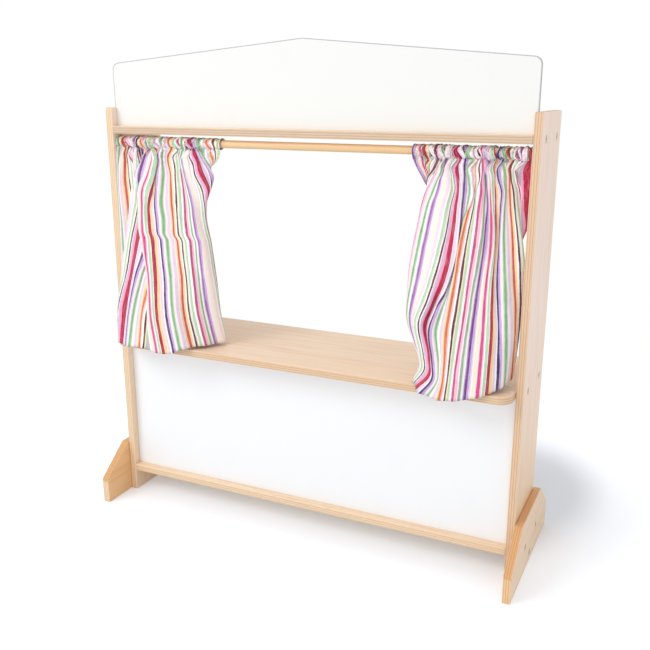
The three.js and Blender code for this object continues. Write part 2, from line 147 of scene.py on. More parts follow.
class Finish:
    """The nodes of a material with a Principled shader, or those of another node tree."""

    def __init__(self, name, tree=None):
        if tree is None:
            self.material = bpy.data.materials.new(name)
            self.material.use_nodes = True
            tree = self.material.node_tree
        self.tree = tree
        self.shader = tree.nodes.get("Principled BSDF")

    def node(self, kind, settings=None, sockets=None, output=0):
        """Adds a node: first its settings, then the values or links of its sockets."""
        node = self.tree.nodes.new(kind)
        settings = dict(settings or {})
        stops = settings.pop("stops", [])
        blend = settings.pop("blend", None)
        for key, value in settings.items():
            setattr(node, key, value)
        if blend:
            node.color_ramp.interpolation = blend
        for number, (place, colour) in enumerate(stops):
            ramp = node.color_ramp.elements
            stop = ramp[number] if number < 2 else ramp.new(place)
            stop.position = place
            stop.color = colour
        for key, value in (sockets or {}).items():
            if isinstance(value, Value):
                self.tree.links.new(value.socket, node.inputs[key])
            else:
                node.inputs[key].default_value = value
        return Value(self, node.outputs[output])

    def place(self, scale):
        """Gives the place on the piece in metres, stretched by a scale along each axis."""
        point = self.node("ShaderNodeTexCoord", output="Object")
        return self.node("ShaderNodeMapping", {}, {"Vector": point, "Scale": scale})

    def axis(self, letter):
        """Gives one coordinate of the place on the piece, in metres."""
        point = self.node("ShaderNodeTexCoord", output="Object")
        return self.node("ShaderNodeSeparateXYZ", {}, {0: point}, output=letter)

    def noise(self, point, detail, rough=0.5):
        """Gives cloudy noise between 0 and 1. A detail of 1 is plain, and 4 has fine wisps."""
        sockets = {"Vector": point, "Scale": 1.0, "Detail": detail, "Roughness": rough}
        return self.node("ShaderNodeTexNoise", {}, sockets)

    def mix(self, share, first, second, blend="MIX"):
        """Mixes two colours by a share of the second."""
        settings = {"data_type": "RGBA", "blend_type": blend}
        return self.node("ShaderNodeMix", settings, {0: share, 6: first, 7: second}, output=2)

    def bump(self, height, strength, depth):
        """Turns a height from 0 to 1 into a normal: depth is the height of 1 in metres."""
        sockets = {"Height": height, "Strength": strength, "Distance": depth}
        return self.node("ShaderNodeBump", {}, sockets)

    def ray(self, kind):
        """Is 1 for one kind of ray, such as Camera for what the camera sees directly."""
        return self.node("ShaderNodeLightPath", output="Is " + kind + " Ray")

    def show(self, shader, output):
        """Links a shader to the output node that a new material or world has, by its name."""
        self.tree.links.new(shader.socket, self.tree.nodes[output].inputs["Surface"])

    def dress(self, colour, rough, normal, **constants):
        """Links what varies to the shader and sets the sockets that are the same all over."""
        for key, value in (("Base Color", colour), ("Roughness", rough), ("Normal", normal)):
            self.tree.links.new(value.socket, self.shader.inputs[key])
        for key, value in constants.items():
            self.shader.inputs[key.replace("_", " ").title().replace("Ior", "IOR")].default_value = value
        return self.material


def give(material, *names):
    """Puts a material into the slots of the CAD nodes with these names."""
    for name in names:
        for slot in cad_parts[name].material_slots:
            slot.material = material


# %% [markdown]
# Birch plywood with a maple face shows two different things. Its faces are one thin veneer, cut
# round the log, pale and with a quiet grain that runs along the board. Its edges show the layers:
# long grain and end grain take turns, with a thin dark line of glue between them.
#
# An image of wood would have to be unwrapped onto each board. The CAD solids say something better:
# how deep a point lies between the two faces of its board. That one number, the depth, tells the
# face from the edge and each layer from the next, and it also follows the eased edges.

# %% Plywood
layer_count = 7
veneer_share = 0.046
slope_start = 0.062


def stretched(letter, own, others):
    """Gives the scales of noise along X, Y and Z: its own for one axis, another for the rest."""
    return [own if axis == letter else others for axis in "XYZ"]


def plywood(name, across, low, high, along, face, foot, edge=(244, 220, 190), upper=None):
    """Maple plywood, for a board that lies between low and high along the axis `across` and whose
    face grain runs along the axis `along`. The depth is the share of the thickness below a point.
    The veneer has the colour `face` at the top of the stand and goes over to `foot` near the floor.
    Above 6 cm the edges can have another tone, `upper`: a foot slopes from there, and a slope cuts
    the layers aslant, so it shows more end grain, which is darker."""
    finish = Finish(name)
    depth = (finish.axis(across) - low) * (1 / (high - low))
    grain = finish.noise(finish.place(stretched(along, 5, 150)), detail=4, rough=0.6)
    figure = finish.noise(finish.place(stretched(along, 1.5, 14)), detail=2)
    rise = finish.axis("Z").step(0.15, 0.65)
    veneer = finish.mix(rise, paint(*foot), paint(*face))
    veneer = finish.mix(grain.step(0.45, 0.75, 0, 0.6), veneer, paint(232, 220, 206), "MULTIPLY")
    veneer = finish.mix(figure.step(0.35, 0.7, 0, 0.6), veneer, paint(252, 246, 234), "MULTIPLY")

    streak = finish.noise(finish.place(stretched(across, 900, 45)), detail=3)
    layer = depth * layer_count
    turn = layer.math("PINGPONG", 1.0)
    height_in_layer = layer.math("FRACT")
    glue = (height_in_layer - 0.5).math("ABSOLUTE").step(0.40, 0.47)
    end_grain = turn.step(0.3, 0.7)
    above = finish.axis("Z").step(slope_start - 0.004, slope_start + 0.004)
    pale = finish.mix(above, paint(*edge), paint(*(upper or edge)))
    dark = finish.mix(1.0, pale, paint(230, 214, 191), "MULTIPLY")
    line = finish.mix(1.0, pale, paint(201, 176, 140), "MULTIPLY")
    core = finish.mix(end_grain * 0.85, pale, dark)
    core = finish.mix(streak.step(0.4, 0.7, 0, 0.35), core, dark)
    core = finish.mix(glue * 0.9, core, line)

    near_face = (depth - 0.5).math("ABSOLUTE").step(0.5 - veneer_share - 0.006, 0.5 - veneer_share)
    colour = finish.mix(near_face, core, veneer)
    height = grain * near_face * 0.5 + streak * (1 - near_face)
    rough = grain.step(0.3, 0.8, 0.42, 0.55) + (1 - near_face) * 0.12
    normal = finish.bump(height, 0.35, 0.0004)
    return finish.dress(colour, rough, normal, coat_weight=0.25, coat_roughness=0.28, ior=1.5)


def extent(node, number):
    """Gives where a board starts and ends along axis 0, 1 or 2, from its CAD box."""
    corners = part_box(node)
    return float(corners[0][number]), float(corners[1][number])


upright = {"across": "X", "along": "Z"}
sloped = {"across": "X", "along": "Y"}
level = {"across": "Z", "along": "X", "face": (244, 218, 190), "foot": (244, 218, 190)}
boards = {
    "left_side_panel": upright | {"face": (246, 224, 208), "foot": (238, 209, 176)},
    "right_side_panel": upright | {"face": (249, 222, 203), "foot": (239, 204, 164),
                                   "edge": (233, 203, 174)},
    "left_foot": sloped | {"face": (238, 190, 136), "foot": (238, 190, 136), "upper": (230, 180, 126)},
    "right_foot": sloped | {"face": (239, 208, 174), "foot": (239, 208, 174), "edge": (244, 206, 160),
                            "upper": (230, 178, 126)},
    "top_rail": level | {"edge": (221, 199, 177)},
    "stage_shelf": level | {"edge": (231, 202, 172)},
    "bottom_rail": level | {"edge": (244, 220, 192)},
}
for name, board in boards.items():
    low, high = extent(name, "XYZ".index(board["across"]))
    give(plywood(name + "_plywood", low=low, high=high, **board), name)
print("plywood boards", len(boards), "with", layer_count, "layers each")

# %% [markdown]
# A marker board is hardboard under a smooth white laminate, which a felt pen can be wiped off. The
# laminate shines a little, and keeps faint grey clouds where pens were wiped away. On the cut edges
# the grey core of the board shows, and a thin grey rim where the laminate stops. The rim follows
# the sides, the upper edge and the rounded corner between them.

# %% Marker boards
board_front, board_back = extent("header_board", 1)
header_top = extent("header_board", 2)[1]
header_half = extent("header_board", 0)[1]
header_fall = 0.048 / header_half
corner_radius = 0.017
rim_width = 0.002


def marker_board(name, white, rim_height, rim_slope):
    """White laminate over a grey core. The core shows where a point lies between the two faces. The
    rim is what lies near the board's sides or its upper edge, which is at the height
    rim_height - rim_slope * distance from the middle of the board. At a corner it is what lies
    further than the inner radius from the middle of the round."""
    finish = Finish(name)
    middle = (board_front + board_back) / 2
    half = (board_back - board_front) / 2
    off_face = (finish.axis("Y") - middle).math("ABSOLUTE")
    cut_edge = off_face.below(half - 0.00015)
    side = finish.axis("X").math("ABSOLUTE")
    edge_line = rim_height - side * rim_slope
    past_side = (side - (header_half - corner_radius)).math("MAXIMUM", 0.0)
    past_top = (finish.axis("Z") - (edge_line - corner_radius)).math("MAXIMUM", 0.0)
    reach = (past_side * past_side + past_top * past_top).math("SQRT")
    rim = reach.above(corner_radius - rim_width)
    clouds = finish.noise(finish.place((7, 7, 4)), detail=4, rough=0.55)
    wiped = finish.noise(finish.place((30, 30, 9)), detail=2)
    grey = tuple(part * 0.965 for part in white)
    face = finish.mix(clouds.step(0.5, 0.8, 0, 0.4) * wiped, paint(*white), paint(*grey))
    face = finish.mix(rim * 0.9, face, paint(178, 179, 181))
    colour = finish.mix(cut_edge, face, paint(158, 156, 152))
    rough = clouds.step(0.3, 0.7, 0.16, 0.26) + cut_edge * 0.5
    ripple = finish.noise(finish.place((60, 60, 60)), detail=1)
    normal = finish.bump(ripple, 0.12, 0.0003)
    return finish.dress(colour, rough, normal, ior=1.45)


give(marker_board("header_laminate", (236, 235, 231), header_top, header_fall), "header_board")
# The lower board's upper edge is hidden in a groove, so the line of its rim lies over the stand.
over_the_stand = 2.0
give(marker_board("lower_laminate", (242, 243, 244), over_the_stand, 0.0), "lower_board")
print("header board falls", round(header_fall * 1000), "mm in a metre from the middle to a side")

# %% [markdown]
# The boards are held by furniture bolts with a hexagon socket. Each turns into a cross dowel, a
# short steel cylinder that lies across the bolt inside the board. The bolts are bright zinc with
# fine turning marks. The dowels and the threaded inserts of the feet are duller, because nobody
# polishes what is hidden in wood.

# %% Steel
def turned_steel(name, colour, rough, pitch):
    """Metal turned on a lathe round the X axis: fine rings of the pitch, and cloudy wear."""
    finish = Finish(name)
    rings = (finish.axis("X") * (2 * np.pi / pitch)).math("SINE")
    wear = finish.noise(finish.place((400, 400, 400)), detail=4)
    darker = tuple(part * 0.8 for part in colour)
    shade = finish.mix(wear.step(0.4, 0.75, 0, 0.7), paint(*colour), paint(*darker))
    gloss = wear.step(0.3, 0.7, rough, rough + 0.14)
    normal = finish.bump(rings * 0.5 + 0.5, 0.3, 0.0001)
    return finish.dress(shade, gloss, normal, metallic=1.0)


bright = turned_steel("bolt_zinc", (186, 178, 168), 0.32, 0.0006)
dull = turned_steel("dowel_zinc", (160, 158, 154), 0.42, 0.0015)
bolts = [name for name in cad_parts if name.endswith("_bolt")]
hidden_metal = [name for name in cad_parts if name.endswith(("_cross_dowel", "_insert"))]
give(bright, *bolts)
give(dull, *hidden_metal)
print("bolts", len(bolts), "hidden metal pieces", len(hidden_metal))

# %% [markdown]
# The next pieces are new surfaces. Each is a grid of points: one number runs along the rows, the
# other along the columns, and numpy works out all points at once. The helper below turns such a
# grid into a mesh. A grid that closes round, like a rod, joins its last column to its first.

# %% Grids
def grid_faces(rows, columns, closed=False):
    """Gives the four corners of every face of a grid, as numbers of points."""
    across = np.arange(columns if closed else columns - 1)
    down = np.arange(rows - 1)[:, None] * columns
    right = (across + 1) % columns
    corners = [down + across, down + right, down + columns + right, down + columns + across]
    return np.stack(corners, axis=-1).reshape(-1, 4)


def surface(name, points, uv):
    """Makes a smooth mesh from a grid of points with shape rows, columns, 3, and its flat map."""
    faces = grid_faces(*points.shape[:2])
    mesh = bpy.data.meshes.new(name)
    mesh.vertices.add(points[..., 0].size)
    mesh.vertices.foreach_set("co", points.ravel())
    mesh.loops.add(faces.size)
    mesh.loops.foreach_set("vertex_index", faces.ravel())
    mesh.polygons.add(len(faces))
    mesh.polygons.foreach_set("loop_start", np.arange(0, faces.size, 4))
    mesh.update(calc_edges=True)
    layer = mesh.uv_layers.new(name="flat_cloth")
    layer.data.foreach_set("uv", uv.reshape(-1, 2)[faces.ravel()].ravel())
    mesh.shade_smooth()
    return add(name, mesh)


# %% [markdown]
# The rod is a hardwood dowel, one straight grained stick that the curtains slide on. CAD keeps it
# to 32 sides. A profile of distance along the rod and radius, turned round the rod's axis, gives
# it a true round and a small chamfer at each end, which sits in a blind hole of the side panel.

# %% Rod
rod_low, rod_high = (np.array(corner, float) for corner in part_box("curtain_rod"))
rod_radius = float(rod_high[2] - rod_low[2]) / 2
rod_y = float(rod_low[1] + rod_high[1]) / 2
rod_z = float(rod_low[2] + rod_high[2]) / 2
rod_sides = 96
rod_chamfer = 0.001


def turned_rod(name, start, end):
    """Points at x, y = centre + r cos a, z = centre + r sin a, with r along a chamfered profile."""
    inner = np.linspace(start + rod_chamfer, end - rod_chamfer, 40)
    along = np.concatenate([[start], inner, [end]])
    radius = np.full(along.size, rod_radius)
    radius[[0, -1]] = rod_radius - rod_chamfer
    angle = np.linspace(0, 2 * np.pi, rod_sides, endpoint=False)
    x = np.repeat(along[:, None], rod_sides, axis=1)
    y = rod_y + radius[:, None] * np.cos(angle)
    z = rod_z + radius[:, None] * np.sin(angle)
    points = np.stack([x, y, z], axis=-1).reshape(-1, 3)
    faces = grid_faces(along.size, rod_sides, closed=True)[:, ::-1].tolist()
    faces.append(np.arange(rod_sides).tolist()[::-1])
    faces.append((np.arange(rod_sides) + (along.size - 1) * rod_sides).tolist())
    mesh = bpy.data.meshes.new(name)
    mesh.from_pydata(points.tolist(), [], faces)
    mesh.shade_smooth()
    return add(name, mesh)


def dowel_wood(name):
    """Pale hardwood with long fine grain along X and small dark pores."""
    finish = Finish(name)
    grain = finish.noise(finish.place((6, 260, 260)), detail=4, rough=0.6)
    pores = finish.noise(finish.place((60, 1500, 1500)), detail=1)
    tint = finish.noise(finish.place((3, 40, 40)), detail=2)
    colour = finish.mix(grain.step(0.4, 0.75, 0, 0.7), paint(234, 199, 153), paint(222, 180, 130))
    colour = finish.mix(tint.step(0.4, 0.7, 0, 0.5), colour, paint(230, 190, 138))
    colour = finish.mix(pores.step(0.62, 0.75, 0, 0.35), colour, paint(190, 145, 95))
    rough = grain.step(0.3, 0.8, 0.42, 0.56)
    normal = finish.bump(grain, 0.3, 0.0003)
    return finish.dress(colour, rough, normal, coat_weight=0.2, coat_roughness=0.3)


rod = turned_rod("rod_dowel", float(rod_low[0]), float(rod_high[0]))
rod.data.materials.append(dowel_wood("rod_wood"))
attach(rod, "stand")
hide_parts("curtain_rod")
print("rod", rod_sides, "sides, radius", round(rod_radius * 1000, 2), "mm")

# %% [markdown]
# The curtain cloth is a light cotton with a printed stripe. The stripes look as if they were drawn
# with felt pens: bold and thin lines, each with a pale tint beside it, on white. The print repeats
# every 400 mm across the cloth, which is what a common roller prints.
#
# The list gives where each band starts and its colour, so it reads like the edge of the cloth.

# %% The print
repeat = 400
inks = {
    "white": (252, 247, 247), "blush": (249, 232, 238), "pale pink": (248, 220, 233),
    "light pink": (247, 188, 208), "strong pink": (246, 156, 190), "rose": (190, 74, 120),
    "hot pink": (210, 64, 124), "crimson": (180, 10, 62), "red": (174, 26, 54),
    "pale green": (226, 234, 214), "light green": (184, 212, 174), "green": (128, 178, 124),
    "sage": (150, 172, 146), "purple": (118, 62, 136), "dark purple": (66, 32, 94),
    "mauve": (158, 108, 168), "lavender": (200, 168, 214), "lilac": (230, 206, 230),
    "grey lilac": (204, 190, 208), "orange red": (196, 84, 62), "orange": (214, 112, 70),
    "peach": (248, 204, 156), "salmon": (246, 192, 180), "cream": (244, 230, 196),
    "ivory": (248, 238, 222), "maroon": (98, 28, 42),
}
bands = [
    (0, "rose"), (3.5, "light pink"), (8.5, "blush"), (13.5, "pale green"), (15.5, "green"),
    (19, "light green"), (21.5, "white"), (25.5, "lilac"), (27.5, "mauve"), (32.5, "lavender"),
    (36.5, "blush"), (42, "ivory"), (51.5, "pale pink"), (57.5, "white"),
    (61, "light green"), (66.5, "pale green"), (69, "white"), (71, "maroon"), (75, "blush"),
    (77, "grey lilac"), (81, "strong pink"), (86, "crimson"), (99, "blush"), (102, "lilac"),
    (109, "white"), (113.5, "lavender"), (115, "dark purple"), (120.5, "lavender"), (127.5, "blush"),
    (134, "light green"), (136.5, "green"), (141, "light green"), (144, "white"), (151, "lilac"),
    (158, "cream"), (161.5, "peach"), (165.5, "orange"), (171, "salmon"), (175, "white"),
    (179.5, "maroon"), (184, "cream"), (187, "light green"), (193.5, "blush"), (199.5, "rose"),
    (205.5, "light pink"), (211.5, "blush"), (215, "sage"), (220.5, "pale green"), (223.5, "white"),
    (226, "lavender"), (228.5, "purple"), (234, "lavender"), (239, "lilac"), (242, "white"),
    (244.5, "cream"), (251, "blush"), (253.5, "light pink"), (255.5, "hot pink"),
    (262, "light pink"), (265.5, "white"), (268, "light green"), (274.5, "blush"), (277, "red"),
    (286, "peach"), (293, "cream"), (295.5, "lilac"), (301.5, "white"), (305.5, "dark purple"),
    (312, "lavender"), (318.5, "blush"), (326, "light green"), (328.5, "green"),
    (334, "light green"), (336.5, "blush"), (342.5, "lilac"), (350.5, "cream"), (354.5, "salmon"),
    (358, "orange red"), (364.5, "peach"), (368.5, "cream"), (371, "white"), (373.5, "maroon"),
    (378.5, "pale green"), (381.5, "blush"), (384, "light green"), (390.5, "white"), (396.5, "rose"),
]
print("the print has", len(bands), "bands in", repeat, "mm")

# %% [markdown]
# A colour ramp holds at most 32 stops, and the print has more, so three ramps share it, a third of
# the repeat each. The edges of the bands wander a little, because noise moves the place at which
# the ramps are read. More noise makes the ink streaky along the stripe. The weave is a bump of two
# crossing waves of threads, and the seam and the bottom hem are rows of stitches.
#
# In tight gathers light bounces from fold to fold, so the print is painted paler there, as painted
# light, and each fine crease gets painted shade: a dark line with a greyish purple tint.

# %% Cloth
cloth_width = 673
cloth_length = 618
seam_at = 97
hem_at = 596
gathers_end = (60, 170)
thread_pitch = 0.55
stitch_pitch = 3.2


def stripe_third(finish, number, place):
    """Reads one third of the print: place runs from 0 to 1 along the whole repeat."""
    first = repeat * number / 3
    last = repeat * (number + 1) / 3
    inside = [(start, ink) for start, ink in bands if first < start < last]
    opening = [ink for start, ink in bands if start <= first][-1]
    stops = [(0.0, paint(*inks[opening]))]
    stops += [((start - first) / (last - first), paint(*inks[ink])) for start, ink in inside]
    local = place * 3 - number
    return finish.node("ShaderNodeValToRGB", {"stops": stops, "blend": "CONSTANT"}, {0: local})


def printed_cotton(name, first_print):
    """Striped cotton on the flat map: u is the share of the width, v the share of the length, and
    the print at u is first_print + u * width, folded back to one repeat."""
    finish = Finish(name)
    flat = finish.node("ShaderNodeUVMap", {"uv_map": "flat_cloth"})
    u = finish.node("ShaderNodeSeparateXYZ", {}, {0: flat}, output="X")
    v = finish.node("ShaderNodeSeparateXYZ", {}, {0: flat}, output="Y")
    across = u * cloth_width
    down = v * cloth_length
    gathered = down.step(*gathers_end, 1, 0)

    def clouds(across_scale, down_scale, layer, detail, rough=0.5):
        """Gives noise on the flat cloth. The scales say how many clouds lie in a millimetre."""
        point = {0: across * across_scale, 1: down * down_scale, 2: layer}
        return finish.noise(finish.node("ShaderNodeCombineXYZ", {}, point), detail, rough)

    wobble = clouds(0.12, 0.016, 0.0, 2) - 0.5
    fray = clouds(0.8, 0.25, 3.0, 2) - 0.5
    moved = across + first_print + repeat + wobble * (gathered * 7 + 4) + fray * 1.1
    place = (moved * (1 / repeat)).math("FRACT")
    thirds = [stripe_third(finish, number, place) for number in range(3)]
    ink = finish.mix(place.above(1 / 3), thirds[0], thirds[1])
    ink = finish.mix(place.above(2 / 3), ink, thirds[2])
    streak = clouds(0.9, 0.03, 7.0, 3, 0.6)
    colour = finish.mix(streak.step(0.45, 0.75, 0, 0.26), ink, paint(*inks["white"]))
    pool = clouds(0.35, 0.07, 11.0, 2).step(0.5, 0.75, 0, 0.45)
    colour = finish.mix(pool, colour, colour, "MULTIPLY")

    crumple = clouds(0.10, 0.06, 5.0, 3, 0.6)
    crease_and_shade = (crumple - 0.5).math("ABSOLUTE").step(0.0, 0.055, 1, 0) * gathered
    # Painted light: the gathered heading is screened a quarter paler, standing in for light bounced
    # between its folds.
    colour = finish.mix(gathered * 0.25, colour, colour, "SCREEN")
    # Painted shade: each crease is darkened and tinted greyish purple, standing in for the shade inside
    # it. The same mask also cuts the crease into the bump below.
    colour = finish.mix(crease_and_shade * 0.6, colour, colour, "MULTIPLY")
    colour = finish.mix(crease_and_shade * 0.35, colour, paint(150, 112, 128), "MULTIPLY")

    thread = 2 * np.pi / thread_pitch
    weave = (across * thread).math("SINE") * (down * thread).math("SINE")
    stitch = (across * (1 / stitch_pitch)).math("FRACT").below(0.7)
    rows = (down - seam_at).math("ABSOLUTE").below(0.5) + (down - hem_at).math("ABSOLUTE").below(0.5)
    sewn = rows * stitch
    colour = finish.mix(sewn * 0.25, colour, paint(232, 222, 226))
    folded = crumple * (gathered * 40 + 4) - crease_and_shade * 6
    normal = finish.bump(weave * 0.25 + folded - rows * 0.5 + sewn * 0.35, 0.25, 0.0004)
    rough = weave.step(-1, 1, 0.9, 0.82)
    return finish.dress(colour, rough, normal, sheen_weight=0.15, sheen_roughness=0.5)


# %% [markdown]
# How a gathered curtain hangs is the hard part. A cloth simulation could drop it off the rod, but
# it would fold where it likes, and these folds were set for the picture. So the folds are
# written as a pattern cutter would note them: at a few heights, where each stripe of the print
# lies in plan. A row of a table holds three numbers in millimetres, the place in the print, then
# X and Y. Where Y goes back and X turns round, the cloth folds behind itself.
#
# The curve between the rows of a table, and from one height to the next, is a smooth cubic.

# %% Smooth curves
def smooth_curve(knots, values, places):
    """Reads a smooth curve through the values at the knots. Each stretch is a cubic whose slopes at
    its ends are those of the values around each knot."""
    knots = np.asarray(knots, float)
    values = np.asarray(values, float)
    slopes = np.gradient(values, knots, axis=0)
    right = np.clip(np.searchsorted(knots, places, side="right"), 1, len(knots) - 1)
    left = right - 1
    spread = (-1,) + (1,) * (values.ndim - 1)
    span = (knots[right] - knots[left]).reshape(spread)
    share = np.clip((places - knots[left]) / (knots[right] - knots[left]), 0, 1).reshape(spread)
    start = (1 + 2 * share) * (1 - share) ** 2 * values[left]
    end = (3 - 2 * share) * share**2 * values[right]
    leave = share * (1 - share) ** 2 * span * slopes[left]
    arrive = -(share**2) * (1 - share) * span * slopes[right]
    return start + end + leave + arrive


# %% [markdown]
# Left curtain. Its print starts at 78 mm before a repeat, at the panel, and 673 mm of cloth hang
# in 311 mm of heading. The main fold lies in front of a few narrow folds beside the panel, and the
# last 120 mm at the free side are turned back behind the body.

# %% Left curtain's folds
seam_height = 966
low_height = 470
left_folds = {
    966: [(-78, -530, -84), (-24, -498, -84), (100, -462, -84), (281, -412, -84), (331, -389, -84),
          (386, -343, -84), (464, -310, -84), (539, -277, -84), (568, -249, -84), (595, -219, -84)],
    945: [(-78, -529, -93), (-24, -494, -91), (15, -479, -86), (64, -466, -91), (82, -457, -91),
          (91, -456, -90), (99, -457, -86), (112, -450, -84), (175, -434, -83), (232, -441, -91),
          (245, -430, -93), (258, -417, -93), (272, -404, -92), (290, -402, -87), (331, -388, -89),
          (361, -371, -89), (386, -342, -89), (431, -330, -89), (464, -304, -89), (493, -288, -88),
          (539, -262, -86), (568, -243, -84), (595, -226, -82)],
    905: [(-78, -529, -100), (-39, -506, -97), (-24, -493, -97), (-8, -482, -92), (14, -479, -83),
          (45, -481, -90), (64, -469, -97), (84, -453, -98), (89, -452, -95), (94, -455, -91),
          (99, -459, -87), (107, -458, -84), (120, -448, -83), (160, -412, -83), (190, -438, -92),
          (214, -461, -102), (218, -462, -104), (231, -450, -107), (244, -437, -108), (258, -424, -107),
          (268, -413, -105), (276, -404, -103), (286, -406, -95), (298, -404, -94), (309, -398, -98),
          (331, -383, -98), (361, -363, -98), (386, -338, -98), (431, -319, -97), (464, -297, -95),
          (493, -272, -92), (515, -254, -87), (545, -252, -80), (595, -278, -79)],
    865: [(-78, -529, -102), (-39, -505, -100), (-24, -489, -100), (-6, -476, -95), (14, -475, -87),
          (45, -483, -95), (62, -472, -103), (85, -451, -105), (91, -451, -101), (99, -453, -96),
          (110, -450, -92), (165, -408, -88), (205, -438, -99), (233, -461, -109), (237, -462, -111),
          (247, -451, -113), (258, -440, -114), (268, -429, -115), (276, -416, -115), (284, -410, -108),
          (296, -408, -106), (309, -399, -109), (331, -383, -108), (361, -358, -106), (386, -333, -104),
          (431, -306, -100), (464, -280, -95), (490, -258, -88), (502, -255, -82), (545, -276, -76),
          (595, -315, -79)],
    831: [(-78, -529, -103), (-50, -511, -102), (-24, -486, -102), (5, -464, -93), (46, -486, -102),
          (62, -472, -109), (86, -447, -111), (93, -444, -108), (100, -441, -103), (165, -410, -94),
          (207, -438, -106), (235, -458, -115), (238, -459, -117), (248, -449, -119), (258, -439, -120),
          (270, -428, -121), (281, -421, -120), (309, -399, -117), (331, -382, -115), (361, -354, -112),
          (386, -330, -109), (431, -297, -102), (464, -275, -93), (478, -268, -87), (490, -270, -80),
          (540, -302, -75), (595, -346, -79)],
    795: [(-78, -529, -103), (-50, -508, -102), (-10, -470, -98), (5, -454, -97), (48, -488, -108),
          (64, -477, -113), (86, -451, -116), (95, -445, -112), (170, -405, -100), (212, -436, -112),
          (238, -455, -120), (241, -456, -122), (250, -447, -124), (258, -438, -124), (270, -427, -125),
          (281, -418, -124), (309, -392, -123), (361, -346, -119), (400, -314, -112), (431, -292, -105),
          (458, -277, -95), (472, -270, -87), (484, -272, -80), (535, -304, -75), (595, -350, -79)],
    752: [(-78, -529, -104), (-50, -505, -103), (0, -448, -98), (50, -494, -112), (64, -487, -117),
          (86, -462, -122), (100, -446, -121), (175, -395, -106), (215, -425, -117), (242, -448, -126),
          (245, -449, -128), (258, -433, -130), (281, -409, -130), (309, -383, -129), (361, -338, -126),
          (400, -303, -119), (431, -281, -110), (458, -265, -97), (472, -261, -87), (482, -264, -80),
          (530, -300, -75), (595, -358, -80)],
    655: [(-78, -529, -105), (-50, -510, -109), (0, -472, -107), (50, -510, -125), (64, -499, -132),
          (93, -472, -139), (118, -450, -142), (139, -434, -142), (150, -428, -140), (202, -388, -122),
          (248, -424, -141), (258, -415, -145), (281, -390, -148), (309, -361, -149), (331, -341, -147),
          (361, -314, -143), (400, -282, -134), (431, -264, -121), (452, -250, -108), (466, -245, -94),
          (478, -248, -82), (530, -294, -74), (595, -350, -80)],
    560: [(-78, -529, -107), (-45, -515, -120), (0, -478, -128), (50, -508, -140), (66, -513, -150),
          (74, -508, -156), (93, -487, -159), (118, -469, -160), (139, -453, -161), (168, -430, -160),
          (208, -398, -145), (246, -416, -156), (258, -402, -163), (281, -378, -166), (309, -349, -167),
          (331, -328, -164), (361, -305, -152), (400, -275, -133), (431, -258, -113), (450, -246, -98),
          (464, -239, -85), (477, -242, -76), (530, -290, -70), (595, -346, -76)],
    470: [(-78, -528, -108), (-45, -518, -129), (0, -480, -140), (56, -500, -155), (72, -507, -162),
          (82, -505, -169), (93, -494, -174), (118, -476, -177), (139, -459, -179), (168, -431, -180),
          (208, -403, -166), (246, -391, -173), (258, -377, -179), (281, -353, -180), (309, -324, -179),
          (331, -305, -174), (361, -285, -155), (393, -261, -133), (431, -245, -101), (455, -232, -80),
          (468, -232, -70), (485, -247, -64), (530, -287, -62), (595, -344, -68)],
}
left_hem = [(-78, 476), (0, 476), (38, 472), (56, 468), (93, 463), (182, 462), (208, 458), (258, 455),
            (309, 462), (331, 472), (361, 476), (431, 476), (485, 477), (595, 478)]
print("left curtain is set at", len(left_folds), "heights")

# %% [markdown]
# Right curtain. Its free side faces the opening of the stage, so its print starts there: 170 mm are
# turned back behind the body, and show only as a small flap below the heading. Near the panel the
# cloth recedes into a last fold, and at the bottom the free side bunches up and rolls under.

